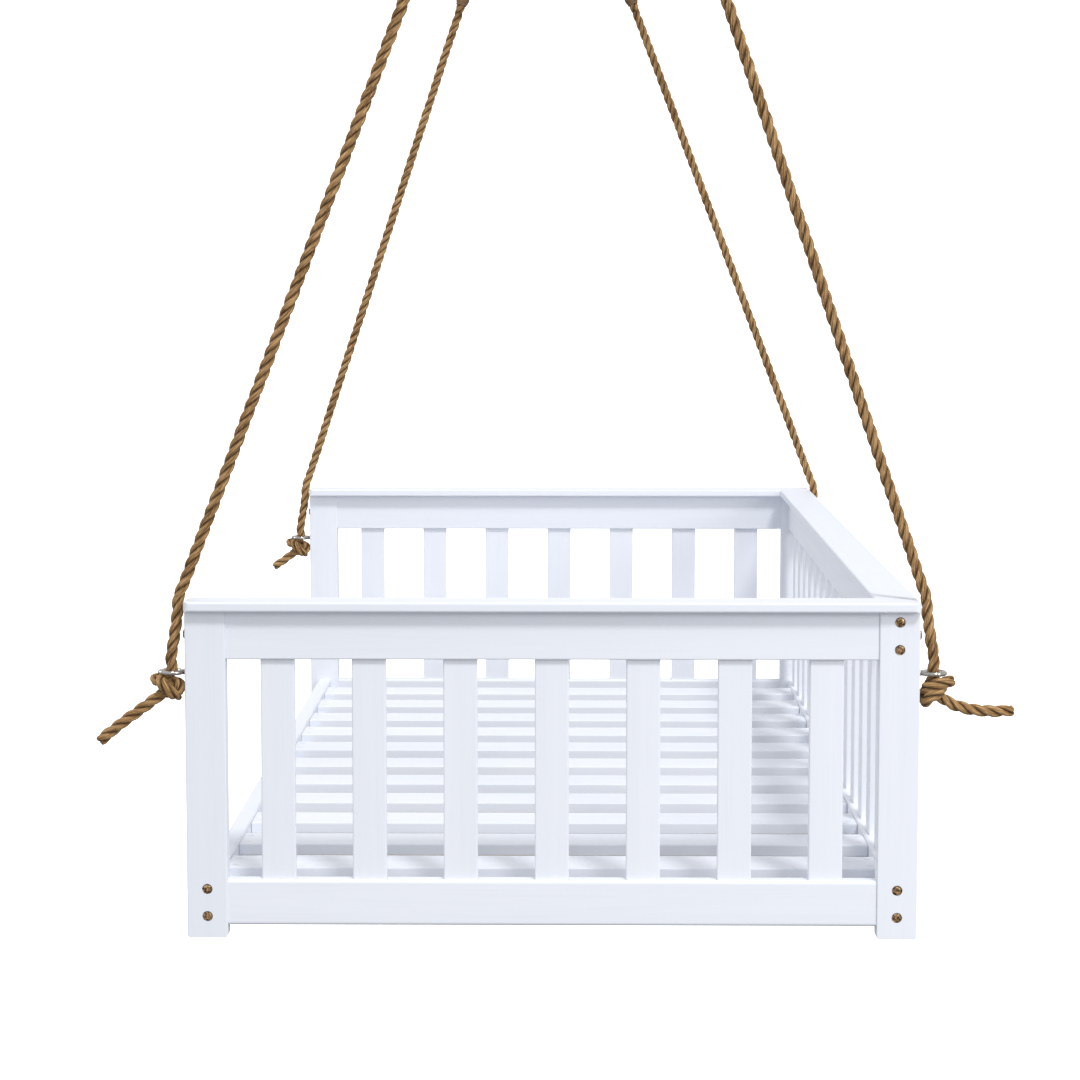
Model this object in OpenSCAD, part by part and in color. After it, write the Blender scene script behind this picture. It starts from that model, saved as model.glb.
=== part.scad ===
// Hanging bed swing: a slatted wooden deck with baluster guard rails on three sides, hung on four ropes.
// Millimetres. The origin is the middle of the ceiling plane, +X right, +Y away from the viewer, +Z up.

/* [Frame] */
// Width over the posts' outer faces
frame_width = 1056; // [900:1:1300]
// Length over the posts' end faces
frame_length = 2019; // [1500:1:2300]
// Post width, across the swing
post_width = 58.5; // [45:0.5:80]
// Post thickness, along the swing
post_depth = 32; // [24:0.5:50]
// Post height, which is also the underside of the caps
post_height = 477; // [380:1:600]
// Ceiling plane above the foot of the posts
ceiling_height = 1665; // [1200:1:2600]

/* [Caps and rails] */
// Cap thickness
cap_thick = 14.5; // [10:0.5:25]
// Cap width
cap_width = 65; // [50:0.5:90]
// Cap overhang past the front and back faces of the posts
cap_overhang = 15; // [5:0.5:25]
// Rail thickness
rail_thick = 27; // [18:0.5:40]
// Height of the top rails' lower edge
top_rail_low = 407; // [350:1:500]
// Height of the bottom rails' lower edge
bottom_rail_low = 18; // [0:1:60]
// Height of the bottom rails' upper edge
bottom_rail_high = 85; // [60:1:140]
// Set-back of the end rails behind the post faces
rail_setback = 2.5; // [0:0.5:6]

/* [Balusters] */
// Baluster width
baluster_width = 49; // [30:0.5:70]
// Baluster thickness
baluster_thick = 14; // [9:0.5:20]
// Balusters in each end panel
end_count = 7; // [3:1:9]
// Spacing of the end balusters
end_pitch = 131.8; // [90:0.1:160]
// Balusters in the side panel
side_count = 15; // [9:1:19]
// Spacing of the side balusters
side_pitch = 129.5; // [90:0.1:160]
// Depth of the mortises in the rails
mortise_depth = 10; // [5:1:15]

/* [Slats] */
// Number of slats
slat_count = 11; // [7:1:15]
// Slat width
slat_width = 88; // [60:1:120]
// Slat thickness
slat_thick = 18; // [12:0.5:25]
// Spacing of the slats
slat_pitch = 171; // [120:1:220]
// Slat top below the bottom rails' upper edge
slat_drop = 5; // [0:0.5:15]
// Ledger width
ledger_width = 20; // [12:1:35]
// Ledger height
ledger_height = 30; // [20:1:40]

/* [Bolts] */
// Connector bolt head diameter
head_dia = 14; // [10:0.5:20]
// Connector bolt shank diameter
shank_dia = 6.3; // [5:0.1:8]
// Length of the bolts into the side rails
bolt_length = 75; // [50:1:100]
// Length of the bolts into the end top rails
end_bolt_length = 112; // [90:1:140]
// Vertical spacing of each bolt pair
pair_spacing = 40; // [25:1:50]
// Barrel nut diameter
nut_dia = 10; // [8:0.5:14]

/* [Eye bolts and ropes] */
// Eye ring outer diameter
eye_outer = 39; // [30:0.5:60]
// Eye ring wire diameter
eye_wire = 7; // [5:0.5:10]
// Height of the eyes
eye_height = 387; // [300:1:450]
// Distance of each eye's centre from the middle of the swing
eye_reach = 549; // [500:1:700]
// Rope diameter
rope_dia = 17.5; // [12:0.5:25]
// Rope centre's distance from the middle where it passes the cap
cap_pass = 537.3; // [530:0.1:560]
// Height of the bend beside the cap
bend_height = 495; // [480:1:540]

/* [Ceiling rings] */
// Height of the ring wire where the rope loops bear
hook_height = 1590; // [1100:1:2500]
// Ring radius to the wire's centre
ring_radius = 28; // [20:1:40]
// Ring wire diameter
ring_wire = 10; // [8:0.5:14]
// Round plate diameter
plate_dia = 64; // [45:1:90]

/* [Hidden] */
$fn = 48;

// Colours
PAINT = [0.90, 0.90, 0.92];
ZINC = [0.80, 0.62, 0.25];
STEEL = [0.70, 0.71, 0.73];
ROPE = [0.62, 0.45, 0.26];
TWINE = [0.50, 0.34, 0.18];

// Frame positions
half_x = frame_width / 2;
half_y = frame_length / 2;
post_x = half_x - post_width / 2;
post_y = half_y - post_depth / 2;
bed_inner_y = half_y - post_depth;
inner_x = half_x - post_width;
end_rail_y = half_y - rail_setback - rail_thick / 2;
slat_z = bottom_rail_high - slat_drop - slat_thick;
slat_end = post_x - rail_thick / 2 - 0.5;
rail_fit = 0.15;

// Edge radii
board_r = 2;
foot_r = 4.5;
cap_r = 3;
cap_corner_r = 9;
nose_r = 5;

// Bolt details
counterbore_dia = head_dia + 1;
counterbore_depth = 4.2;
head_thick = 3.4;
head_gap = 0.2;
crown_thick = 0.5;
crown_dia = 8.6;
shoulder_thick = 1.1;
shoulder_dia = 12;
socket_dia = 6.8;
socket_depth = 2.4;
bore_dia = shank_dia + 0.7;
nut_gap = 0.2;
nut_hole = shank_dia + 0.3 + 2 * nut_gap;
nut_length = 17;
nut_setback = 14;
bore_spare = 6;
end_nut_x = half_x - end_bolt_length + nut_setback;
side_nut_y = half_y - bolt_length + nut_setback;
top_bolt_z = (top_rail_low + post_height) / 2;
low_bolt_z = (bottom_rail_low + bottom_rail_high) / 2;

// Staples
staple_crown = 8;
staple_wire = 1.2;
staple_leg = 28;
staple_fit = 0.2;
staple_z = slat_z + slat_thick - staple_fit / 2;
staple_in = 12;
staple_apart = 44;

// Eye bolts
eye_r = (eye_outer - eye_wire) / 2;
eye_shank = 8;
eye_bore = eye_shank + 0.2;
eye_grip = 46;

// Ceiling rings
plate_thick = 4;
stem_dia = 12;
screw_dia = 7;
screw_length = 55;
plate_screw_r = 23;
plate_screw_dia = 8;

// Rope ends and loops
rope_r = rope_dia / 2;
thimble_in = 8.5;
thimble_wall = 1.5;
thimble_half = 8;
loop_r = thimble_in + thimble_wall + 0.4 + rope_r;
loop_y = [9.2, 12, 17];
loop_s = [62, 42, 20];
short_end_s = 108;
seizing_from = 66;
seizing_to = 94;
seizing_wall = 2.5;
straight_s = 190;
rope_sides = 12;

// Ring wire centres where the four ropes hang, as [x, y]
HANG = [[-113, -post_y], [160, -post_y], [-176, post_y], [120, post_y]];
SIDE = [-1, 1, -1, 1];

// Tail routes from each knot, as [outward, along, drop] from the eye's centre
TAIL = [
    [[30, 0, 44], [45, 1, 55], [62, 2, 67], [78, 2, 79], [93, 1, 91], [105, 0, 101]],
    [[30, 0, 46], [42, 1, 53], [57, 2, 57], [76, 2, 59], [97, 1, 58], [115, 0, 56]],
    [[30, 0, 44], [38, -1, 50], [47, -1, 56], [57, 0, 62]],
    [[30, 0, 46], [38, 2, 55], [46, 4, 65], [53, 6, 77]]];
tip_scale = 0.9;

// Knot: two wound turns round a core
knot_out = 6.5;
turn_r = 9;
turn_reach = 15;
turn_drop = [19.5, 36];
core_low = 44;
core_high = 13;

// A rectangle with rounded corners
module rounded(size, r) {
    square([size[0] - 2 * r, size[1]], center = true);
    square([size[0], size[1] - 2 * r], center = true);
    for (x = [-1, 1], y = [-1, 1])
        translate([x * (size[0] / 2 - r), y * (size[1] / 2 - r)])
            circle(r = r);
}

// A board along Z, X or Y, centred on its section, with eased long edges
module board_z(size, r) {
    linear_extrude(size[2]) rounded([size[0], size[1]], r);
}

module board_x(size, r) {
    translate([-size[0] / 2, 0, 0]) rotate([90, 0, 90])
        linear_extrude(size[0]) rounded([size[1], size[2]], r);
}

module board_y(size, r) {
    translate([0, size[1] / 2, 0]) rotate([90, 0, 0])
        linear_extrude(size[1]) rounded([size[0], size[2]], r);
}

module along_x(length, dia) {
    rotate([0, 90, 0]) cylinder(h = length, d = dia);
}

module along_y(length, dia) {
    rotate([-90, 0, 0]) cylinder(h = length, d = dia);
}

module on_bed() {
    translate([0, 0, -ceiling_height]) children();
}

// Heights of the bolts that run along Y into the side rails, on one side
function side_bolt_z(sx) = [for (z = sx > 0 ? [low_bolt_z, top_bolt_z] : [low_bolt_z], s = [-1, 1])
    z + s * pair_spacing / 2];

// Holes for the connector bolts, run long, for cutting posts and rails
module side_bolt_holes(sx, sy) {
    for (z = side_bolt_z(sx))
        translate([sx * post_x, sy * half_y, z])
            rotate([0, 0, sy > 0 ? 180 : 0]) {
                translate([0, -1, 0]) along_y(counterbore_depth + 1, counterbore_dia);
                along_y(bolt_length + counterbore_depth + bore_spare, bore_dia);
            }
}

module end_bolt_hole(sx, sy) {
    translate([sx * (half_x + 1), sy * end_rail_y, top_bolt_z])
        rotate([0, 0, sx > 0 ? 180 : 0])
            along_x(end_bolt_length + bore_spare, bore_dia);
}

module post(sx, sy) {
    color(PAINT) on_bed() difference() {
        intersection() {
            translate([sx * post_x, sy * post_y, 0])
                board_z([post_width, post_depth, post_height], board_r);
            translate([sx * post_x, sy * post_y, post_height / 2 + foot_r])
                board_y([post_width, post_depth + 2, post_height + 2 * foot_r], foot_r);
        }
        side_bolt_holes(sx, sy);
        end_bolt_hole(sx, sy);
        translate([sx > 0 ? half_x - eye_grip - bore_spare : -half_x - 1, sy * post_y, eye_height])
            along_x(eye_grip + bore_spare + 1, eye_bore);
    }
}

module post_front_left() { post(-1, -1); }
module post_front_right() { post(1, -1); }
module post_back_left() { post(-1, 1); }
module post_back_right() { post(1, 1); }

// An end cap with rounded edges and corners
module end_cap(sy) {
    y = sy * (half_y + cap_overhang - cap_width / 2);
    color(PAINT) on_bed() translate([0, y, post_height]) intersection() {
        board_z([frame_width, cap_width, cap_thick], cap_corner_r);
        translate([0, 0, cap_thick / 2]) board_x([frame_width, cap_width, cap_thick], cap_r);
        translate([0, 0, cap_thick / 2]) board_y([frame_width, cap_width, cap_thick], cap_r);
    }
}

module cap_front() { end_cap(-1); }
module cap_back() { end_cap(1); }

module cap_side() {
    length = frame_length + 2 * cap_overhang - 2 * cap_width - 2 * rail_fit;
    width = cap_width - 3;
    color(PAINT) on_bed() translate([half_x - width / 2, 0, post_height + cap_thick / 2])
        board_y([width, length, cap_thick], cap_r);
}

// Mortises for a row of balusters along X or along Y
module mortises(count, pitch, size, z) {
    for (i = [0 : count - 1]) {
        step = (i - (count - 1) / 2) * pitch;
        translate(size[0] > size[1] ? [step, 0, z] : [0, step, z])
            translate([-size[0] / 2, -size[1] / 2, 0])
                cube([size[0], size[1], mortise_depth + 1]);
    }
}

end_slot = [baluster_width + 2 * rail_fit, baluster_thick + 2 * rail_fit];
side_slot = [baluster_thick + 2 * rail_fit, baluster_width + 2 * rail_fit];

// The front and back panels' rails, with barrel nut holes that open on the side away from the viewer
module end_top_rail(sy) {
    height = post_height - top_rail_low;
    color(PAINT) on_bed() difference() {
        translate([0, sy * end_rail_y, top_rail_low + height / 2])
            board_x([2 * inner_x, rail_thick, height], board_r);
        translate([0, sy * end_rail_y, 0])
            mortises(end_count, end_pitch, end_slot, top_rail_low - 1);
        for (sx = [-1, 1]) {
            end_bolt_hole(sx, sy);
            translate([sx * end_nut_x, sy * end_rail_y - nut_length / 2, top_bolt_z])
                along_y(rail_thick, nut_dia + 2 * rail_fit);
        }
    }
}

module top_rail_front() { end_top_rail(-1); }
module top_rail_back() { end_top_rail(1); }

module end_bottom_rail(sy) {
    height = bottom_rail_high - bottom_rail_low;
    color(PAINT) on_bed() difference() {
        translate([0, sy * end_rail_y, bottom_rail_low + height / 2])
            board_x([2 * inner_x, rail_thick, height], nose_r);
        translate([0, sy * end_rail_y, 0])
            mortises(end_count, end_pitch, end_slot, bottom_rail_high - mortise_depth);
    }
}

module bottom_rail_front() { end_bottom_rail(-1); }
module bottom_rail_back() { end_bottom_rail(1); }

// Holes for the nuts in a side rail, open on its outer side
module side_nut_holes(sx, z) {
    for (sy = [-1, 1], s = [-1, 1])
        translate([sx * post_x - (sx > 0 ? nut_length / 2 : rail_thick - nut_length / 2),
            sy * side_nut_y, z + s * pair_spacing / 2])
            along_x(rail_thick, nut_dia + 2 * rail_fit);
}

module side_bottom_rail(sx) {
    height = bottom_rail_high - bottom_rail_low;
    color(PAINT) on_bed() difference() {
        translate([sx * post_x, 0, bottom_rail_low + height / 2])
            board_y([rail_thick, 2 * bed_inner_y, height], nose_r);
        for (sy = [-1, 1])
            side_bolt_holes(sx, sy);
        side_nut_holes(sx, low_bolt_z);
        if (sx > 0)
            translate([sx * post_x, 0, 0])
                mortises(side_count, side_pitch, side_slot, bottom_rail_high - mortise_depth);
    }
}

module bottom_rail_left() { side_bottom_rail(-1); }
module bottom_rail_right() { side_bottom_rail(1); }

module top_rail_side() {
    height = post_height - top_rail_low;
    color(PAINT) on_bed() difference() {
        translate([post_x, 0, top_rail_low + height / 2])
            board_y([rail_thick, 2 * bed_inner_y, height], board_r);
        for (sy = [-1, 1])
            side_bolt_holes(1, sy);
        side_nut_holes(1, top_bolt_z);
        translate([post_x, 0, 0])
            mortises(side_count, side_pitch, side_slot, top_rail_low - 1);
    }
}

// A ledger strip under the slat ends
module ledger(sx) {
    x = sx * (post_x - rail_thick / 2 - ledger_width / 2);
    color(PAINT) on_bed() difference() {
        translate([x, 0, slat_z - ledger_height / 2])
            board_y([ledger_width, 2 * bed_inner_y, ledger_height], board_r);
        for (i = [1 : slat_count], s = [-1, 1])
            translate([sx * (slat_end - staple_in), slat_y(i) + s * staple_apart / 2, slat_z + slat_thick])
                staple(staple_fit);
    }
}

module ledger_left() { ledger(-1); }
module ledger_right() { ledger(1); }

function slat_y(i) = (i - (slat_count + 1) / 2) * slat_pitch;

// Slats are numbered from the front; each has slots for its staples
module slat(i) {
    color(PAINT) on_bed() difference() {
        translate([0, slat_y(i), slat_z + slat_thick / 2])
            board_x([2 * slat_end, slat_width, slat_thick], board_r);
        for (sx = [-1, 1], s = [-1, 1])
            translate([sx * (slat_end - staple_in), slat_y(i) + s * staple_apart / 2, slat_z + slat_thick])
                staple(staple_fit);
    }
}

module slat_01() { slat(1); }
module slat_02() { slat(2); }
module slat_03() { slat(3); }
module slat_04() { slat(4); }
module slat_05() { slat(5); }
module slat_06() { slat(6); }
module slat_07() { slat(7); }
module slat_08() { slat(8); }
module slat_09() { slat(9); }
module slat_10() { slat(10); }
module slat_11() { slat(11); }

// A staple with its crown just under the slat's face; extra widens it into its own slot
module staple(extra) {
    crown = staple_crown + 2 * extra;
    wire = staple_wire + 2 * extra;
    translate([-crown / 2, -wire / 2, -staple_wire - extra])
        cube([crown, wire, staple_wire + 2 * extra]);
    for (s = [-1, 1])
        translate([s * (staple_crown - staple_wire) / 2 - wire / 2, -wire / 2, -staple_leg - extra])
            cube([wire, wire, staple_leg + extra]);
}

module slat_staples() {
    color(STEEL) on_bed()
        for (i = [1 : slat_count], sx = [-1, 1], s = [-1, 1])
            translate([sx * (slat_end - staple_in), slat_y(i) + s * staple_apart / 2, staple_z]) staple(0);
}

// Balusters, tenoned into the rails above and below
baluster_low = bottom_rail_high - mortise_depth + rail_fit;
baluster_length = top_rail_low + mortise_depth - rail_fit - baluster_low;

module end_balusters(sy) {
    color(PAINT) on_bed()
        for (i = [0 : end_count - 1])
            translate([(i - (end_count - 1) / 2) * end_pitch, sy * end_rail_y, baluster_low])
                board_z([baluster_width, baluster_thick, baluster_length], board_r);
}

module front_balusters() { end_balusters(-1); }
module back_balusters() { end_balusters(1); }

module side_balusters() {
    color(PAINT) on_bed()
        for (i = [0 : side_count - 1])
            translate([post_x, (i - (side_count - 1) / 2) * side_pitch, baluster_low])
                board_z([baluster_thick, baluster_width, baluster_length], board_r);
}

// A connector bolt along +X with its flat head's face at the origin
// A bolt head that slopes off in two steps towards its crown
module bolt_head() {
    rotate([0, 90, 0]) {
        cylinder(h = crown_thick, d1 = crown_dia, d2 = shoulder_dia);
        translate([0, 0, crown_thick]) cylinder(h = shoulder_thick, d1 = shoulder_dia, d2 = head_dia);
        translate([0, 0, crown_thick + shoulder_thick])
            cylinder(h = head_thick - crown_thick - shoulder_thick, d = head_dia);
    }
}

module connector_bolt(length) {
    difference() {
        union() {
            bolt_head();
            along_x(length, shank_dia);
        }
        translate([-1, 0, 0]) rotate([0, 90, 0]) cylinder(h = socket_depth + 1, d = socket_dia, $fn = 6);
    }
}

module side_rail_bolts() {
    color(ZINC) on_bed()
        for (sx = [-1, 1], sy = [-1, 1], z = side_bolt_z(sx))
            translate([sx * post_x, sy * (half_y - counterbore_depth + head_thick + head_gap), z])
                rotate([0, 0, -sy * 90]) connector_bolt(bolt_length);
}

module end_rail_bolts() {
    color(ZINC) on_bed()
        for (sx = [-1, 1], sy = [-1, 1])
            translate([sx * (half_x + head_thick + 0.05), sy * end_rail_y, top_bolt_z])
                rotate([0, 0, sx > 0 ? 180 : 0]) connector_bolt(end_bolt_length + head_thick);
}

// A barrel nut on Z, cross-drilled along X
module barrel_nut() {
    difference() {
        translate([0, 0, -nut_length / 2]) cylinder(h = nut_length, d = nut_dia);
        translate([-nut_dia, 0, 0]) along_x(2 * nut_dia, nut_hole);
    }
}

module barrel_nuts() {
    color(STEEL) on_bed() {
        for (sx = [-1, 1], sy = [-1, 1]) {
            for (z = side_bolt_z(sx))
                translate([sx * (post_x + nut_gap), sy * side_nut_y, z])
                    rotate([0, 90, 0]) rotate([0, 0, 90]) barrel_nut();
            translate([sx * end_nut_x, sy * end_rail_y + nut_gap, top_bolt_z])
                rotate([90, 0, 0]) barrel_nut();
        }
    }
}

// Screw eyes with the ring flat beside each post
module eye_bolts() {
    shank_out = eye_reach - half_x - eye_r;
    color(STEEL) on_bed()
        for (sx = [-1, 1], sy = [-1, 1])
            translate([sx * eye_reach, sy * post_y, eye_height]) {
                rotate_extrude() translate([eye_r, 0]) circle(d = eye_wire);
                rotate([0, 0, sx > 0 ? 180 : 0]) translate([eye_r, 0, 0])
                    along_x(shank_out + eye_grip, eye_shank);
            }
}

// Ceiling rings: plate, screws, stem and a closed ring that lies across the swing
function lean(i) = atan((cap_pass - abs(HANG[i][0])) / (hook_height - bend_height));

module ceiling_rings() {
    color(STEEL) on_bed()
        for (i = [0 : 3]) {
            x = HANG[i][0] - SIDE[i] * ring_radius * sin(lean(i));
            z = hook_height + ring_radius * cos(lean(i));
            translate([x, HANG[i][1], 0]) {
                translate([0, 0, z]) rotate([90, 0, 0])
                    rotate_extrude() translate([ring_radius, 0]) circle(d = ring_wire);
                translate([0, 0, z + ring_radius])
                    cylinder(h = ceiling_height - plate_thick - z - ring_radius + 1, d = stem_dia);
                translate([0, 0, ceiling_height - plate_thick])
                    cylinder(h = plate_thick, d = plate_dia);
                translate([0, 0, ceiling_height - 1])
                    cylinder(h = screw_length + 1, d = screw_dia);
                for (a = [0 : 120 : 359])
                    rotate([0, 0, a]) translate([plate_screw_r, 0, ceiling_height - plate_thick - 2])
                        cylinder(h = 3, d = plate_screw_dia);
            }
        }
}

// Places its children at a rope's loop: Z along the rope, X across it, Y along the swing
module at_loop(i) {
    on_bed() translate([HANG[i][0], HANG[i][1], hook_height])
        rotate([0, -SIDE[i] * lean(i), 0]) children();
}

module thimble() {
    rotate([0, 90, 0]) rotate([0, 0, 60]) rotate_extrude(angle = 240)
        translate([thimble_in, -thimble_half]) square([thimble_wall, 2 * thimble_half]);
}

module rope_thimble(i) { color(STEEL) at_loop(i) thimble(); }
module thimble_front_left() { rope_thimble(0); }
module thimble_front_right() { rope_thimble(1); }
module thimble_back_left() { rope_thimble(2); }
module thimble_back_right() { rope_thimble(3); }

// A seizing: a band of twine round both parts of the rope
module seizing() {
    translate([0, 0, -seizing_to]) linear_extrude(seizing_to - seizing_from) difference() {
        stadium(rope_r + 0.3 + seizing_wall);
        stadium(rope_r + 0.3);
    }
}

module stadium(r) {
    square([2 * r, 2 * loop_y[0]], center = true);
    for (s = [-1, 1])
        translate([0, s * loop_y[0]]) circle(r = r);
}

module rope_seizing(i) { color(TWINE) at_loop(i) seizing(); }
module seizing_front_left() { rope_seizing(0); }
module seizing_front_right() { rope_seizing(1); }
module seizing_back_left() { rope_seizing(2); }
module seizing_back_right() { rope_seizing(3); }

// A tube swept along points with its own radius at each
function unit(v) = v / norm(v);
function tangent(p, i) = unit(p[min(i + 1, len(p) - 1)] - p[max(i - 1, 0)]);
function ring_at(p, i, r, n, up) =
    let (t = tangent(p, i), u = unit(cross(t, up)), v = cross(t, u))
    [for (k = [0 : n - 1]) p[i] + r * (u * cos(360 * k / n) + v * sin(360 * k / n))];

module tube(p, r, n, up) {
    m = len(p);
    points = concat([for (i = [0 : m - 1]) each ring_at(p, i, r[i], n, up)], [p[0], p[m - 1]]);
    walls = [for (i = [0 : m - 2], k = [0 : n - 1], h = [0, 1])
        let (a = i * n + k, b = i * n + (k + 1) % n)
        h == 0 ? [a, a + n, b] : [b, a + n, b + n]];
    caps = [for (k = [0 : n - 1], h = [0, 1])
        h == 0 ? [k, (k + 1) % n, m * n] : [(m - 1) * n + (k + 1) % n, (m - 1) * n + k, m * n + 1]];
    polyhedron(points = points, faces = concat(walls, caps));
}

// The hanging rope, from its short end round the loop, down the slant, past the cap and into the eye
function loop_path(i) =
    let (a = lean(i), d = [SIDE[i] * sin(a), 0, -cos(a)], top = [HANG[i][0], HANG[i][1], hook_height])
    concat(
        [top + d * short_end_s + [0, -loop_y[0], 0]],
        [top + d * (short_end_s - 3) + [0, -loop_y[0], 0]],
        [for (k = [0 : 2]) top + d * loop_s[k] + [0, -loop_y[k], 0]],
        [for (t = [0 : 22.5 : 180]) top - d * loop_r * sin(t) - [0, loop_r * cos(t), 0]],
        [for (k = [2 : -1 : 0]) top + d * loop_s[k] + [0, loop_y[k], 0]],
        [top + d * short_end_s + [0, loop_y[0], 0]],
        [top + d * 150 + [0, 4, 0]],
        [top + d * straight_s],
        [for (s = [240 : 50 : slant_length(i) - 30]) top + d * s],
        [[SIDE[i] * cap_pass, HANG[i][1], bend_height]],
        [[SIDE[i] * (cap_pass + 1.5), HANG[i][1], bend_height - 20]],
        [[SIDE[i] * (cap_pass + 6.5), HANG[i][1], bend_height - 55]],
        [[SIDE[i] * eye_reach, HANG[i][1], eye_height + 30]],
        [for (t = [0 : 30 : 60]) [SIDE[i] * eye_reach, HANG[i][1], eye_height - rope_r * sin(t)]]);

function slant_length(i) = (hook_height - bend_height) / cos(lean(i));

function rope_radii(m) = [for (k = [0 : m - 1])
    k == 0 ? 0.8 * rope_r : k < m - 2 ? rope_r : k == m - 2 ? rope_r * cos(30) : rope_r * cos(60)];

module rope(i) {
    p = loop_path(i);
    color(ROPE) on_bed() tube(p, rope_radii(len(p)), rope_sides, [1, 0.01, 0.02]);
}

module rope_front_left() { rope(0); }
module rope_front_right() { rope(1); }
module rope_back_left() { rope(2); }
module rope_back_right() { rope(3); }

// The stopper knot under an eye
function eye_centre(i) = [SIDE[i] * eye_reach, HANG[i][1], eye_height];

module knot(i) {
    color(ROPE) on_bed() translate(eye_centre(i) + [SIDE[i] * knot_out, 0, 0]) rotate_extrude() {
        for (d = turn_drop)
            translate([turn_reach, -d]) circle(r = turn_r);
        translate([0, -core_low]) square([turn_reach, core_low - core_high]);
    }
}

module knot_front_left() { knot(0); }
module knot_front_right() { knot(1); }
module knot_back_left() { knot(2); }
module knot_back_right() { knot(3); }

// The rope's free end beyond the knot
module tail(i) {
    p = [for (q = TAIL[i]) eye_centre(i) + [SIDE[i] * q[0], q[1], -q[2]]];
    last = len(p) - 1;
    r = [for (j = [0 : last]) rope_r * (j < last ? 1 : tip_scale)];
    color(ROPE) on_bed() tube(p, r, rope_sides, [0.02, 1, 0.01]);
}

module tail_front_left() { tail(0); }
module tail_front_right() { tail(1); }
module tail_back_left() { tail(2); }
module tail_back_right() { tail(3); }

post_front_left();
post_front_right();
post_back_left();
post_back_right();
cap_front();
cap_back();
cap_side();
top_rail_front();
top_rail_back();
top_rail_side();
bottom_rail_front();
bottom_rail_back();
bottom_rail_left();
bottom_rail_right();
ledger_left();
ledger_right();
slat_01();
slat_02();
slat_03();
slat_04();
slat_05();
slat_06();
slat_07();
slat_08();
slat_09();
slat_10();
slat_11();
front_balusters();
back_balusters();
side_balusters();
side_rail_bolts();
end_rail_bolts();
barrel_nuts();
slat_staples();
eye_bolts();
ceiling_rings();
thimble_front_left();
thimble_front_right();
thimble_back_left();
thimble_back_right();
seizing_front_left();
seizing_front_right();
seizing_back_left();
seizing_back_right();
rope_front_left();
rope_front_right();
rope_back_left();
rope_back_right();
knot_front_left();
knot_front_right();
knot_back_left();
knot_back_right();
tail_front_left();
tail_front_right();
tail_back_left();
tail_back_right();
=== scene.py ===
# Hanging bed swing: looks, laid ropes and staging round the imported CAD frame. Sizes are in metres.
import math
import random

import bpy
import numpy as np
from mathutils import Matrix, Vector


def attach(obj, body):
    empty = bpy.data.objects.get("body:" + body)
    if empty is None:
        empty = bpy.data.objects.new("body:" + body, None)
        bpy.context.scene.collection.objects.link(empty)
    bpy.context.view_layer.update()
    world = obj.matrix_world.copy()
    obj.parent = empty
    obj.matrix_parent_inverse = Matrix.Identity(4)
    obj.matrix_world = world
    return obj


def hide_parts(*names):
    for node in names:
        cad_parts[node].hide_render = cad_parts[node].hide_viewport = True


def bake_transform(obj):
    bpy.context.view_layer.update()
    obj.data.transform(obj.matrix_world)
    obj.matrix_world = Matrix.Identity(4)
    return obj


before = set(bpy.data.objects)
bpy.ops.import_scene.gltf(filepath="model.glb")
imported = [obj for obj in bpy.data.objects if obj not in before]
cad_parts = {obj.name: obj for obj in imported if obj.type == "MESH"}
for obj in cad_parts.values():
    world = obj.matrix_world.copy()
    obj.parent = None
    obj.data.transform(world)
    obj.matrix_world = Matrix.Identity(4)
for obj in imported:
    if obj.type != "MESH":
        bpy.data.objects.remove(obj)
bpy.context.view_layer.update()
scene = bpy.context.scene

# Measures that the CAD source also holds
BED_Z = -1.665  # foot of the posts
POST_Y = 0.9935  # the middle of the end posts
EYE_REACH, EYE_Z = 0.549, BED_Z + 0.387  # the middle of each screw eye's ring
HOOK_Z = BED_Z + 1.590  # where the loops hang
BEND_Z, CAP_PASS = BED_Z + 0.495, 0.5373  # where each rope bends over the end of a cap
ROPE_R = 0.00875
LOOP_R = 0.01915

# Each corner's side (1 is right), end (1 is back) and its hook's place across the bed
CORNERS = {
    "front_left": (-1, -1, -0.113),
    "front_right": (1, -1, 0.160),
    "back_left": (-1, 1, -0.176),
    "back_right": (1, 1, 0.120),
}
BODY = {-1: "front_ropes", 1: "back_ropes"}

# ---------------------------------------------------------------- camera
CAMERA_AT = (0.0322, -5.138, BED_Z + 0.9885)
CAMERA_DIP, CAMERA_TURN = 0.0986, 0.0119
SENSOR_MM, LENS_MM = 36, 96.8

camera_data = bpy.data.cameras.new("camera")
camera_data.sensor_width = SENSOR_MM
camera_data.lens = LENS_MM
camera_data.clip_end = 60
camera = bpy.data.objects.new("camera", camera_data)
camera.location = CAMERA_AT
camera.rotation_euler = (math.pi / 2 - CAMERA_DIP, 0.0, CAMERA_TURN)
scene.collection.objects.link(camera)
scene.camera = camera


# ---------------------------------------------------------------- meshes
CURVE_STEPS = 24  # points on a curve between two of its control points


def make_object(name, parts, material):
    """One smooth mesh object from parts, each of them points, faces and a uv pair per face corner."""
    verts, faces, uvs, base = [], [], [], 0
    for v, f, u in parts:
        verts.append(v)
        uvs.append(u)
        faces += [tuple(i + base for i in face) for face in f]
        base += len(v)
    mesh = bpy.data.meshes.new(name)
    mesh.from_pydata([tuple(p) for p in np.vstack(verts)], [], faces)
    layer = mesh.uv_layers.new(name="UVMap")
    layer.data.foreach_set("uv", np.vstack(uvs).astype(np.float32).ravel())
    mesh.polygons.foreach_set("use_smooth", [True] * len(mesh.polygons))
    mesh.materials.append(material)
    mesh.update()
    obj = bpy.data.objects.new(name, mesh)
    scene.collection.objects.link(obj)
    return obj


def along(line):
    """How far along a line each of its points is."""
    return np.concatenate([[0], np.cumsum(np.linalg.norm(np.diff(line, axis=0), axis=1))])


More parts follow.
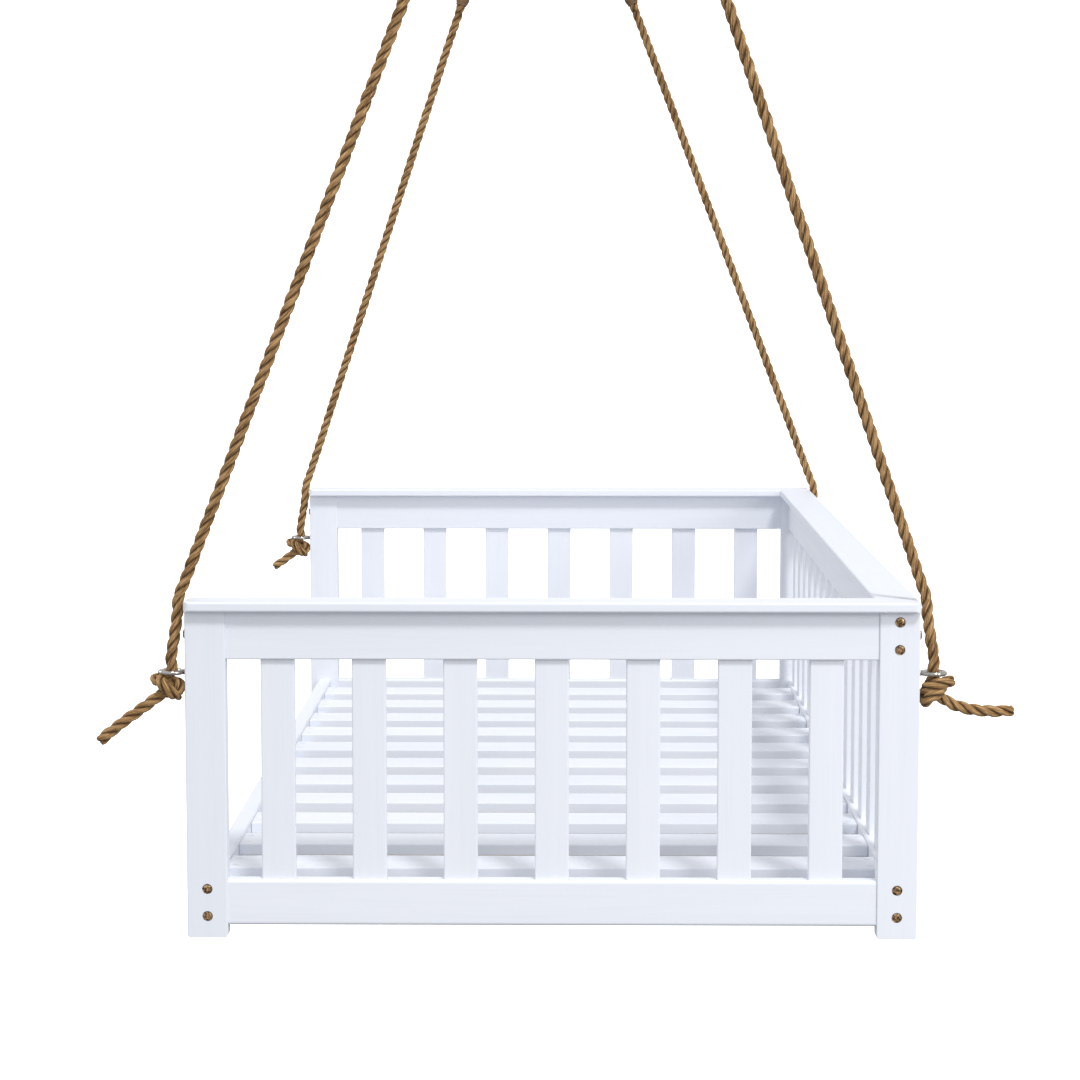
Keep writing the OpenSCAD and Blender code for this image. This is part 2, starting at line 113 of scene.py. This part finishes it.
def even(line, step):
    """The line with points spaced evenly, about a step apart."""
    s = along(line)
    at = np.linspace(0, s[-1], max(2, int(round(s[-1] / step)) + 1))
    return np.stack([np.interp(at, s, line[:, k]) for k in range(3)], axis=1)


def between(x, low, high, a, b):
    """A straight blend from a, where x is low, to b, where x is high."""
    return (high - x) / (high - low) * a + (x - low) / (high - low) * b


def smooth_line(points, step):
    """A centripetal Catmull-Rom curve through the points."""
    p = np.array(points, float)
    p = np.vstack([2 * p[0] - p[1], p, 2 * p[-1] - p[-2]])
    out = []
    for i in range(1, len(p) - 2):
        q = p[i - 1 : i + 3]
        t = np.concatenate([[0], np.cumsum(np.linalg.norm(np.diff(q, axis=0), axis=1) ** 0.5)])
        x = np.linspace(t[1], t[2], CURVE_STEPS, endpoint=False)[:, None]
        a = [between(x, t[k], t[k + 1], q[k], q[k + 1]) for k in range(3)]
        b = [between(x, t[k], t[k + 2], a[k], a[k + 1]) for k in range(2)]
        out.append(between(x, t[1], t[2], b[0], b[1]))
    out.append(p[-2][None])
    return even(np.vstack(out), step)


def frames(line):
    """Tangents and parallel-carried normals along a line."""
    t = np.gradient(line, axis=0)
    t /= np.linalg.norm(t, axis=1)[:, None]
    n = np.zeros_like(t)
    n[0] = np.cross(t[0], [0.3, 1, 0.2])
    n[0] /= np.linalg.norm(n[0])
    for i in range(1, len(t)):
        v = n[i - 1] - t[i] * np.dot(n[i - 1], t[i])
        n[i] = v / np.linalg.norm(v)
    return t, n, np.cross(t, n)


def sweep(line, radius, sides, seam_at=None, shift=0.0):
    """A closed tube on a line. Its uv is metres along, from shift, and turns round from seam_at's side."""
    t, n, b = frames(line)
    if seam_at is not None:
        d = seam_at - line
        d -= t * np.sum(d * t, axis=1)[:, None]
        n = d / np.maximum(np.linalg.norm(d, axis=1), 1e-9)[:, None]
        b = np.cross(t, n)
    m = len(line)
    r = np.broadcast_to(np.asarray(radius, float), (m,))[:, None, None]
    a = (np.arange(sides) * 2 * np.pi / sides)[None, :, None]
    rings = line[:, None] + r * (n[:, None] * np.cos(a) + b[:, None] * np.sin(a))
    verts = np.vstack([rings.reshape(-1, 3), line[:1], line[-1:]])
    s = along(line) + shift
    faces = []
    for i in range(m - 1):
        for j in range(sides):
            k = (j + 1) % sides
            faces.append((i * sides + j, i * sides + k, (i + 1) * sides + k, (i + 1) * sides + j))
    i, j = np.divmod(np.arange((m - 1) * sides), sides)
    turn, turn_on = j / sides, (j + 1) / sides
    quads = np.stack([s[i], turn, s[i], turn_on, s[i + 1], turn_on, s[i + 1], turn], axis=1)
    uvs = [quads.reshape(-1, 2)]
    for end, row in ((0, 0), (1, m - 1)):
        for j in range(sides):
            edge = [row * sides + j, row * sides + (j + 1) % sides]
            faces.append((*(edge if end else edge[::-1]), m * sides + end))
            uvs.append(np.array([[s[row], j / sides], [s[row], (j + 1) / sides], [s[row], 0.5]]))
    return verts, faces, np.vstack(uvs)


# ---------------------------------------------------------------- ropes
LAY = 0.061  # length of one turn of the strands
STRAND_R, STRAND_REACH = 0.0045, 0.0044
STRAND_SIDES, FIBRE_SIDES, TWINE_SIDES = 12, 3, 8
ROPE_STEP, TWINE_STEP, CORD_STEP = 0.0022, 0.0016, 0.004
FIBRES_PER_METRE, TIP_FIBRES = 90, 40
FIBRE_RADII = (0.00016, 0.00014, 0.00011, 0.00005)
FIRST_SEED = 100

# The two parts of a rope under its loop: (distance below the hook, half the gap between their middles)
LEG_HALF = 0.0092
LOOP_LEGS = ((0.108, LEG_HALF), (0.085, LEG_HALF), (0.062, LEG_HALF), (0.042, 0.012), (0.020, 0.017))
LEGS_MEET = ((0.150, 0.004), (0.190, 0))

# Knot routes from above the eye: (outward, towards the viewer, down) from the eye's centre, in millimetres
KNOT_LEFT = [
    (0, 0, -12), (0, 0, -4), (2, 1, 3), (8, 5, 8), (13, 11, 11), (11, 15, 16), (5, 16, 22), (-1, 14, 28),
    (-6, 8, 32), (-8, -2, 33), (-4, -11, 29), (4, -14, 22), (12, -13, 15), (20, -9, 12), (23.5, -1, 11.5),
    (20, 5, 12.5), (11, 4, 14), (2, 0, 15), (-7, 0, 14), (-12, 3, 19), (-12, 6, 26), (-5, 3, 30),
    (4, -1, 29.5), (13, -1, 32), (21, 0, 37),
]
KNOT_RIGHT = [
    (0, 0, -12), (0, 0, -4), (1, -4, 5), (-2, -13, 15), (-8, -13, 25), (-11, -8, 36), (-12, 2, 41),
    (-10, 11, 37), (-2, 14, 31), (6, 11, 27), (12, 0, 21), (18, -8, 15), (23, -4, 12.5), (23, 5, 11.5),
    (15, 12, 12), (5, 14, 14), (-5, 12, 17), (-11, 6, 21), (-11, -3, 27), (-5, -7, 32), (3, -4, 32),
    (10, 0, 34), (16, 1, 38), (24, 1, 43),
]
TAILS = {
    "front_left": [(30, 0, 44), (45, 1, 55), (62, 2, 67), (78, 2, 79), (93, 1, 91), (105, 0, 101)],
    "front_right": [(32, 0, 47), (43, 1, 50), (57, 2, 53), (76, 2, 55), (97, 1, 55), (115, 0, 54)],
    "back_left": [(30, 0, 44), (38, -1, 50), (47, -1, 56), (57, 0, 62)],
    "back_right": [(31, 0, 49), (37, 2, 56), (44, 4, 65), (51, 6, 77)],
}


def lean(hang):
    """The angle at which a rope slants outwards from its hook."""
    return math.atan((CAP_PASS - abs(hang)) / (HOOK_Z - BEND_Z))


def slant(corner):
    """The pivot at the top of a rope, and the direction in which it hangs."""
    side, end, hang = CORNERS[corner]
    a = lean(hang)
    return np.array([hang, end * POST_Y, HOOK_Z]), np.array([side * math.sin(a), 0, -math.cos(a)])


def rope_line(corner):
    """The centreline of a rope from its short end, round its loop, to the tip of its tail."""
    side, end, hang = CORNERS[corner]
    top, d = slant(corner)
    y = np.array([0, 1, 0])
    points = [top + d * s - y * w for s, w in LOOP_LEGS]
    for t in np.radians(np.arange(0, 181, 22.5)):
        points.append(top - d * LOOP_R * math.sin(t) - y * LOOP_R * math.cos(t))
    points += [top + d * s + y * w for s, w in (*LOOP_LEGS[::-1], *LEGS_MEET)]
    reach = (HOOK_Z - BEND_Z) / math.cos(lean(hang))
    points += [top + d * s for s in np.linspace(0.26, reach - 0.03, 12)]
    past_cap = ((CAP_PASS, 0.495), (CAP_PASS + 0.0015, 0.475), (CAP_PASS + 0.0065, 0.440), (EYE_REACH, 0.410))
    for x, z in past_cap:
        points.append(np.array([side * x, end * POST_Y, BED_Z + z]))
    knot = (KNOT_LEFT if side < 0 else KNOT_RIGHT) + TAILS[corner]
    for u, v, w in knot:
        points.append(np.array([side * (EYE_REACH + u / 1000), end * POST_Y - v / 1000, EYE_Z - w / 1000]))
    return smooth_line(points, ROPE_STEP)


def fibres(line, seed):
    """Loose fibres that stand off the strands, and a tuft at the tip."""
    draw = random.Random(seed)
    t, n, b = frames(line)
    strays = int(along(line)[-1] * FIBRES_PER_METRE)
    parts = []
    for k in range(strays + TIP_FIBRES):
        at_tip = k >= strays
        i = len(line) - 2 if at_tip else draw.randrange(2, len(line) - 8)
        a = draw.uniform(0, 2 * math.pi)
        out = n[i] * math.cos(a) + b[i] * math.sin(a)
        base = line[i] + out * ROPE_R * (draw.uniform(0.1, 0.9) if at_tip else 0.9)
        way = t[i] * (1 if at_tip or draw.random() < 0.5 else -1)
        size = draw.uniform(0.002, 0.007) if at_tip else draw.uniform(0.004, 0.011)
        lift = draw.uniform(0.1, 0.5) if at_tip else draw.uniform(0.12, 0.32)
        bend = draw.uniform(-0.25, 0.25)
        across = np.cross(way, out)
        aside = out * lift + across * bend
        curve = np.array([base + size * (way * q + aside * q * q) for q in (0, 0.35, 0.7, 1)])
        parts.append(sweep(curve, FIBRE_RADII, FIBRE_SIDES, shift=draw.uniform(0, 5)))
    return parts


def rope_parts(line, seed):
    """Three strands laid right-handed on a line, with loose fibres."""
    t, n, b = frames(line)
    s = along(line)
    draw = random.Random(seed)
    start = draw.uniform(0, 2 * math.pi)
    parts = []
    for k in range(3):
        a = start + s * 2 * math.pi / LAY + k * 2 * math.pi / 3
        wander = 1 + 0.04 * np.sin(s * draw.uniform(50, 70) + k)
        wander = wander + 0.03 * np.sin(s * draw.uniform(120, 170) + 2 * k)
        centre = line + STRAND_REACH * (n * np.cos(a)[:, None] + b * np.sin(a)[:, None])
        radius = STRAND_R * wander
        radius[:2] *= [0.55, 0.9]
        radius[-2:] *= [0.95, 0.7]
        parts.append(sweep(centre, radius, STRAND_SIDES, seam_at=line, shift=3.7 * k + draw.uniform(0, 2)))
    return parts + fibres(line, seed + 1)


def build_ropes(rope_look, twine_look, steel_look):
    """Each corner's laid rope, with the seizing and thimble that go with it."""
    for number, corner in enumerate(CORNERS):
        side, end, _ = CORNERS[corner]
        line = rope_line(corner)
        rope = make_object(f"rope_{corner}_laid", rope_parts(line, FIRST_SEED + number), rope_look)
        top, d = slant(corner)
        body = BODY[end]
        wrap = build_seizing(corner, top, d, twine_look)
        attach(wrap, body)
        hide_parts(f"seizing_{corner}")
        groove = build_thimble(corner, top, d, steel_look)
        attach(groove, body)
        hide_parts(f"thimble_{corner}")
        if end < 0:
            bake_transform(rope)
        else:
            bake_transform(rope)
        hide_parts(f"rope_{corner}", f"knot_{corner}", f"tail_{corner}")


def build_seizing(corner, top, d, look):
    """Twine wound round both parts of a rope, below its loop, with two crossing turns."""
    y = np.array([0.0, 1.0, 0.0])
    x = np.cross(y, d)
    turns, per_turn, per_crossing = 10, 40, 48
    low, high, middle = 0.067, 0.093, 0.080  # below the hook
    wire, reach = 0.00125, ROPE_R + 0.0010
    wound = []
    for i in range(turns * per_turn + 1):
        a = 2 * math.pi * i / per_turn
        s = low + (high - low) * i / (turns * per_turn)
        sideways = LEG_HALF * max(-1.0, min(1.0, 3 * math.sin(a)))
        wound.append(top + d * s + x * reach * math.cos(a) + y * (reach * math.sin(a) + sideways))
    parts = [sweep(even(np.array(wound), TWINE_STEP), wire, TWINE_SIDES)]
    for aside in (-0.0012, 0.0012):
        crossing = []
        for i in range(per_crossing + 1):
            a = 2 * math.pi * i / per_crossing
            down = middle + 0.0165 * math.cos(a)
            crossing.append(top + d * down + x * (0.0026 + reach) * math.sin(a) + y * aside)
        parts.append(sweep(even(np.array(crossing), TWINE_STEP), wire, TWINE_SIDES))
    return make_object(f"seizing_{corner}_twine", parts, look)


def build_thimble(corner, top, d, look):
    """A grooved steel eye inside a rope's loop, open towards the rope."""
    y = np.array([0.0, 1.0, 0.0])
    x = np.cross(y, d)
    middle_r, groove_in, groove_out = 0.0191, 0.0092, 0.0103
    steps, rows = 12, 40
    first_angle, swept = -30, 240
    half_turn = [math.pi * (k / steps) for k in range(steps + 1)]
    profile = [(groove_in * math.cos(a), middle_r - groove_in * math.sin(a)) for a in half_turn]
    half_turn = [math.pi * (1 - k / steps) for k in range(steps + 1)]
    profile += [(groove_out * math.cos(a), middle_r - groove_out * math.sin(a)) for a in half_turn]
    verts, faces, uvs = [], [], []
    for i in range(rows + 1):
        t = math.radians(first_angle + swept * i / rows)
        for w, r in profile:
            verts.append(top + x * w - d * r * math.sin(t) + y * r * math.cos(t))
    m = len(profile)
    for i in range(rows):
        u, u_on = i / rows, (i + 1) / rows
        for j in range(m):
            k = (j + 1) % m
            v, v_on = j / m, (j + 1) / m
            faces.append((i * m + j, (i + 1) * m + j, (i + 1) * m + k, i * m + k))
            uvs += [(u, v), (u_on, v), (u_on, v_on), (u, v_on)]
    for row, order in ((0, 1), (rows, -1)):
        for j in range(steps):
            ring = [row * m + j, row * m + j + 1, row * m + m - 2 - j, row * m + m - 1 - j]
            faces.append(tuple(ring[::order]))
            uvs += [(0, 0), (0, 1), (1, 1), (1, 0)]
    return make_object(f"thimble_{corner}_grooved", [(np.array(verts), faces, np.array(uvs))], look)


# ---------------------------------------------------------------- materials
class Look:
    """A material's node tree, built a node at a time."""

    def __init__(self, name):
        self.material = bpy.data.materials.new(name)
        self.material.use_nodes = True
        self.tree = self.material.node_tree
        self.shader = self.tree.nodes["Principled BSDF"]

    def add(self, kind, settings=None, **inputs):
        """A node with its inputs set by name, or by number as i0, i1 and so on."""
        node = self.tree.nodes.new(kind)
        for key, value in (settings or {}).items():
            setattr(node, key, value)
        for key, value in inputs.items():
            numbered = key[0] == "i" and key[1:].isdigit()
            self.set(node, int(key[1:]) if numbered else key.replace("_", " "), value)
        return node

    def set(self, node, key, value):
        if isinstance(value, bpy.types.NodeSocket):
            self.tree.links.new(value, node.inputs[key])
        else:
            node.inputs[key].default_value = value

    def scaled(self, vector, scale):
        return self.add("ShaderNodeMapping", Vector=vector, Scale=scale).outputs[0]

    def place(self, scale):
        return self.scaled(self.add("ShaderNodeTexCoord").outputs["Object"], scale)

    def noise(self, vector, detail=3.0, rough=0.5, distort=0.0):
        """Noise at one cycle for each unit of its vector."""
        shape = {"Scale": 1.0, "Detail": detail, "Roughness": rough, "Distortion": distort}
        return self.add("ShaderNodeTexNoise", Vector=vector, **shape).outputs["Fac"]

    def span(self, value, low, high, to_low, to_high):
        return self.add("ShaderNodeMapRange", i0=value, i1=low, i2=high, i3=to_low, i4=to_high).outputs[0]

    def maths(self, kind, a, b=0.0):
        return self.add("ShaderNodeMath", {"operation": kind}, i0=a, i1=b).outputs[0]

    def ramp(self, value, *stops):
        node = self.add("ShaderNodeValToRGB", Fac=value)
        ramp = node.color_ramp
        while len(ramp.elements) < len(stops):
            ramp.elements.new(0.5)
        for element, (at, colour) in zip(ramp.elements, stops):
            element.position = at
            element.color = (*colour, 1)
        return node.outputs[0]

    def mix(self, amount, a, b):
        node = self.add("ShaderNodeMix", {"data_type": "RGBA"})
        for socket, value in ((0, amount), (6, a), (7, b)):
            self.set(node, socket, (*value, 1) if isinstance(value, tuple) and len(value) == 3 else value)
        return node.outputs[2]

    def bump(self, height, distance, strength=1.0, normal=None):
        node = self.add("ShaderNodeBump", Height=height, Distance=distance, Strength=strength)
        if normal is not None:
            self.set(node, "Normal", normal)
        return node.outputs[0]


WHITE_DARK, WHITE_LIGHT = (0.775, 0.800, 0.868), (0.822, 0.842, 0.902)
WHITE_STREAK, WHITE_GRAIN, WHITE_SMUDGE = (0.735, 0.758, 0.825), (0.690, 0.710, 0.765), (0.800, 0.812, 0.850)
BARE_WOOD = (0.560, 0.400, 0.250)
EDGE_SOFTNESS = 0.0012


def paint(name, grain, raw_low=None):
    """Brushed white paint on planed wood, with the grain along one axis.
    raw_low is the height of a board's lower edges, where bare wood shows through."""
    look = Look(name)

    def grained(across, lengthways):
        return look.place([lengthways if axis == grain else across for axis in range(3)])

    fine = look.noise(grained(260.0, 7.0), 4.0, 0.55, 0.4)
    streak = look.noise(grained(34.0, 1.6), 3.0, 0.5, 0.8)
    tone = look.noise(grained(9.0, 0.35), 1.0)
    smudge = look.noise(look.place((3.0, 3.0, 3.0)), 4.0, 0.6)
    colour = look.ramp(tone, (0.30, WHITE_DARK), (0.70, WHITE_LIGHT))
    colour = look.mix(look.span(streak, 0.35, 0.75, 0.0, 0.30), colour, WHITE_STREAK)
    colour = look.mix(look.span(fine, 0.52, 0.80, 0.0, 0.22), colour, WHITE_GRAIN)
    colour = look.mix(look.span(smudge, 0.55, 0.80, 0.0, 0.18), colour, WHITE_SMUDGE)
    if raw_low is not None:
        parts = look.add("ShaderNodeSeparateXYZ", Vector=look.add("ShaderNodeTexCoord").outputs["Object"])
        edge = look.span(parts.outputs[2], raw_low + 0.0006, raw_low + 0.0030, 1.0, 0.0)
        patch = look.span(look.noise(look.place((3.2, 7.0, 1.0)), 3.0), 0.42, 0.58, 0.0, 0.75)
        normal = look.add("ShaderNodeNewGeometry").outputs["Normal"]
        ahead = look.add("ShaderNodeSeparateXYZ", Vector=normal).outputs[1]
        bare = look.maths("MULTIPLY", edge, patch)
        bare = look.maths("MULTIPLY", bare, look.span(ahead, -0.2, -0.8, 0.0, 1.0))
        colour = look.mix(bare, colour, BARE_WOOD)
    look.set(look.shader, "Base Color", colour)
    look.set(look.shader, "Roughness", look.span(streak, 0.3, 0.7, 0.40, 0.54))
    soft = look.add("ShaderNodeBevel", {"samples": 4}, Radius=EDGE_SOFTNESS).outputs[0]
    height = look.maths("ADD", fine, look.maths("MULTIPLY", streak, 0.6))
    look.set(look.shader, "Normal", look.bump(height, 0.00018, 0.55, soft))
    look.shader.inputs["Specular IOR Level"].default_value = 0.35
    return look.material


def metal(name, low, high, smooth, rough, shade):
    """Metal in soft patches from low to high, with fine scratches. The patches are stains, and on yellow zinc
    also painted dark reflections and highlights. The patches also set its roughness.
    """
    look = Look(name)
    stain_and_painted_reflection = look.noise(look.place((240.0, 240.0, 240.0)), 4.0, 0.6, 0.6)
    scratch = look.noise(look.place((2600.0, 2600.0, 420.0)), 2.0)
    colour = look.ramp(stain_and_painted_reflection, (0.40, low), (0.62, high))
    colour = look.mix(look.span(scratch, 0.60, 0.80, 0.0, 0.35), colour, shade)
    look.set(look.shader, "Base Color", colour)
    look.shader.inputs["Metallic"].default_value = 1.0
    look.set(look.shader, "Roughness", look.span(stain_and_painted_reflection, 0.3, 0.7, smooth, rough))
    look.set(look.shader, "Normal", look.bump(scratch, 0.00006, 0.5))
    return look.material


YARN_SLOPE = 0.42  # how far a yarn goes round for each metre along its strand, in metres
WAVE_CYCLE = 0.314  # how far apart the wave node's bands are at a scale of 1


def fibre(name, dark, middle, light, turn, yarn):
    """Natural fibre, spun into yarns, with painted shade in the grooves between strands. The uv is metres
    along a strand and turns round it; turn is the metres in one turn round, and yarn is the width of a yarn."""
    look = Look(name)
    parts = look.add("ShaderNodeSeparateXYZ", Vector=look.add("ShaderNodeTexCoord").outputs["UV"])
    u, v = parts.outputs[0], parts.outputs[1]
    across = look.maths("MULTIPLY", v, turn)
    slope = look.maths("ADD", across, look.maths("MULTIPLY", u, YARN_SLOPE))
    where = look.add("ShaderNodeCombineXYZ", X=u, Y=slope).outputs[0]
    hair = look.noise(look.scaled(where, (120.0, 2400.0, 1.0)), 4.0, 0.6, 0.3)
    clump = look.noise(look.scaled(where, (50.0, 560.0, 1.0)), 3.0, 0.6, 0.5)
    bands = {"wave_type": "BANDS", "bands_direction": "Y"}
    wave = {"Scale": WAVE_CYCLE / yarn, "Distortion": 1.2, "Detail": 2.0, "Detail_Scale": 6.0}
    ridge = look.add("ShaderNodeTexWave", bands, Vector=where, **wave).outputs["Fac"]
    drift = look.noise(look.place((22.0, 22.0, 22.0)), 3.0)
    amount = look.maths("ADD", look.maths("MULTIPLY", hair, 0.45), look.maths("MULTIPLY", clump, 0.55))
    colour = look.ramp(amount, (0.38, dark), (0.49, middle), (0.60, light))
    colour = look.mix(look.span(ridge, 0.05, 0.45, 0.38, 0.0), colour, dark)
    colour = look.mix(look.span(drift, 0.35, 0.7, 0.0, 0.34), colour, light)
    # Painted shade: the sides of each strand that face the rope's middle, down in the grooves where strands
    # meet, are darkened towards a near-black brown.
    inward = look.maths("ABSOLUTE", look.maths("SUBTRACT", v, 0.5))
    painted_groove_shade = tuple(0.35 * c for c in dark)
    colour = look.mix(look.span(inward, 0.13, 0.31, 0.0, 0.90), colour, painted_groove_shade)
    look.set(look.shader, "Base Color", colour)
    look.set(look.shader, "Roughness", look.span(hair, 0.3, 0.7, 0.70, 0.92))
    height = look.maths("ADD", ridge, look.maths("MULTIPLY", hair, 0.9))
    look.set(look.shader, "Normal", look.bump(height, 0.0005, 0.8))
    look.shader.inputs["Specular IOR Level"].default_value = 0.22
    look.shader.inputs["Sheen Weight"].default_value = 0.05
    look.shader.inputs["Sheen Roughness"].default_value = 0.5
    return look.material


def dress(look, *starts):
    """The material takes the place of whatever is on the CAD nodes whose names start so."""
    for name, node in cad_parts.items():
        if name.startswith(starts):
            node.data.materials.clear()
            node.data.materials.append(look)


paint_x = paint("paint_grain_x", 0)
paint_y = paint("paint_grain_y", 1)
paint_z = paint("paint_grain_z", 2)
paint_slat = paint("paint_slat", 0, raw_low=BED_Z + 0.062)
nickel = metal("nickel_plate", (0.40, 0.375, 0.345), (0.62, 0.59, 0.55), 0.10, 0.24, (0.26, 0.24, 0.22))
wire = metal("staple_wire", (0.050, 0.050, 0.055), (0.140, 0.140, 0.150), 0.42, 0.60, (0.03, 0.03, 0.03))
# Painted reflection: yellow zinc's very dark and bright brassy patches stand in for dark reflections and
# bright highlights on the bolt heads.
zinc = metal("yellow_zinc", (0.085, 0.042, 0.022), (0.88, 0.58, 0.310), 0.08, 0.18, (0.10, 0.05, 0.03))
hemp = fibre("hemp_rope", (0.042, 0.017, 0.004), (0.268, 0.137, 0.044), (0.735, 0.460, 0.215), 0.0295, 0.0026)
twine = fibre("hemp_twine", (0.11, 0.058, 0.022), (0.31, 0.18, 0.082), (0.56, 0.37, 0.21), 0.0079, 0.0008)

dress(paint_x, "cap_front", "cap_back", "top_rail_front", "top_rail_back")
dress(paint_x, "bottom_rail_front", "bottom_rail_back")
dress(paint_y, "cap_side", "top_rail_side", "bottom_rail_left", "bottom_rail_right", "ledger_")
dress(paint_z, "post_", "front_balusters", "back_balusters", "side_balusters")
dress(paint_slat, "slat_0", "slat_1")
dress(zinc, "side_rail_bolts", "end_rail_bolts", "barrel_nuts")
dress(nickel, "eye_bolts", "ceiling_rings", "thimble_")
dress(wire, "slat_staples")
dress(hemp, "rope_", "knot_", "tail_")
dress(twine, "seizing_")

build_ropes(hemp, twine, nickel)


# ---------------------------------------------------------------- studio
FLOOR_Z = BED_Z - 1.0
COVE_GLOW, COVE_REACH, COVE_BEND, COVE_HEIGHT = 0.66, 9.0, 2.5, 8.0
COVE_SIDES, BEND_STEPS = 96, 12


def backdrop():
    """A pale floor well under the bed that curves up into a high wall all round, like a studio cove."""
    look = Look("studio_white")
    tone = look.noise(look.place((0.8, 0.8, 0.8)), 2.0)
    look.set(look.shader, "Base Color", look.ramp(tone, (0.3, (0.90, 0.90, 0.90)), (0.7, (0.92, 0.92, 0.92))))
    look.set(look.shader, "Roughness", look.span(tone, 0.3, 0.7, 0.85, 0.95))
    look.shader.inputs["Emission Color"].default_value = (1, 1, 1, 1)
    look.shader.inputs["Emission Strength"].default_value = COVE_GLOW
    profile = [(COVE_REACH, 0.0)]
    for k in range(1, BEND_STEPS + 1):
        a = math.pi / 2 * k / BEND_STEPS
        profile.append((COVE_REACH + COVE_BEND * math.sin(a), COVE_BEND * (1 - math.cos(a))))
    profile.append((COVE_REACH + COVE_BEND, COVE_HEIGHT))
    verts, faces = [(0.0, 0.0, FLOOR_Z)], []
    for r, z in profile:
        for k in range(COVE_SIDES):
            a = 2 * math.pi * k / COVE_SIDES
            verts.append((r * math.cos(a), r * math.sin(a), FLOOR_Z + z))
    for k in range(COVE_SIDES):
        m = (k + 1) % COVE_SIDES
        faces.append((0, 1 + k, 1 + m))
        for row in range(len(profile) - 1):
            low_row, high_row = 1 + row * COVE_SIDES, 1 + (row + 1) * COVE_SIDES
            faces.append((low_row + k, high_row + k, high_row + m, low_row + m))
    mesh = bpy.data.meshes.new("studio_cove")
    mesh.from_pydata(verts, [], faces)
    mesh.polygons.foreach_set("use_smooth", [True] * len(mesh.polygons))
    mesh.materials.append(look.material)
    cove = bpy.data.objects.new("studio_cove", mesh)
    scene.collection.objects.link(cove)
    cove.visible_diffuse = False  # the bed is lit by the sky and lamps alone
    cove.visible_glossy = False


# Sky brightness from straight down, at 0, to straight up, at 1
SKY = ((0, 0.32), (0.45, 0.52), (0.58, 0.86), (1, 0.70))


def light_sky():
    """A slightly cool sky that is brightest just above the horizon."""
    world = bpy.data.worlds.new("studio")
    scene.world = world
    world.use_nodes = True
    nodes, links = world.node_tree.nodes, world.node_tree.links
    height = nodes.new("ShaderNodeSeparateXYZ")
    links.new(nodes.new("ShaderNodeTexCoord").outputs["Generated"], height.inputs[0])
    upright = nodes.new("ShaderNodeMapRange")
    upright.inputs["From Min"].default_value = -1
    links.new(height.outputs[2], upright.inputs["Value"])
    sky = nodes.new("ShaderNodeValToRGB")
    for at, _ in SKY[1:-1]:
        sky.color_ramp.elements.new(at)
    for element, (at, grey) in zip(sky.color_ramp.elements, SKY):
        element.position = at
        element.color = (0.97 * grey, 0.985 * grey, grey, 1)
    links.new(upright.outputs[0], sky.inputs[0])
    links.new(sky.outputs[0], nodes["Background"].inputs["Color"])


def lamp(name, kind, at, towards, power, **settings):
    """A light that points at a place."""
    data = bpy.data.lights.new(name, kind)
    data.energy = power
    for key, value in settings.items():
        setattr(data, key, value)
    obj = bpy.data.objects.new(name, data)
    scene.collection.objects.link(obj)
    obj.location = at
    obj.rotation_euler = (Vector(towards) - Vector(at)).to_track_quat("-Z", "Y").to_euler()


backdrop()
light_sky()
MIDDLE = (0.0, 0.0, BED_Z + 0.25)
lamp("key_above", "SUN", (1.3, -2.9, BED_Z + 4.4), MIDDLE, 1.6, angle=math.radians(11))
lamp("side_right", "AREA", (3.0, -3.6, BED_Z + 1.6), MIDDLE, 42, shape="DISK", size=1.2)
lamp("fill_left", "AREA", (-4.0, 0.7, BED_Z + 1.9), MIDDLE, 30, shape="DISK", size=1.4)

scene.view_settings.view_transform = "Standard"
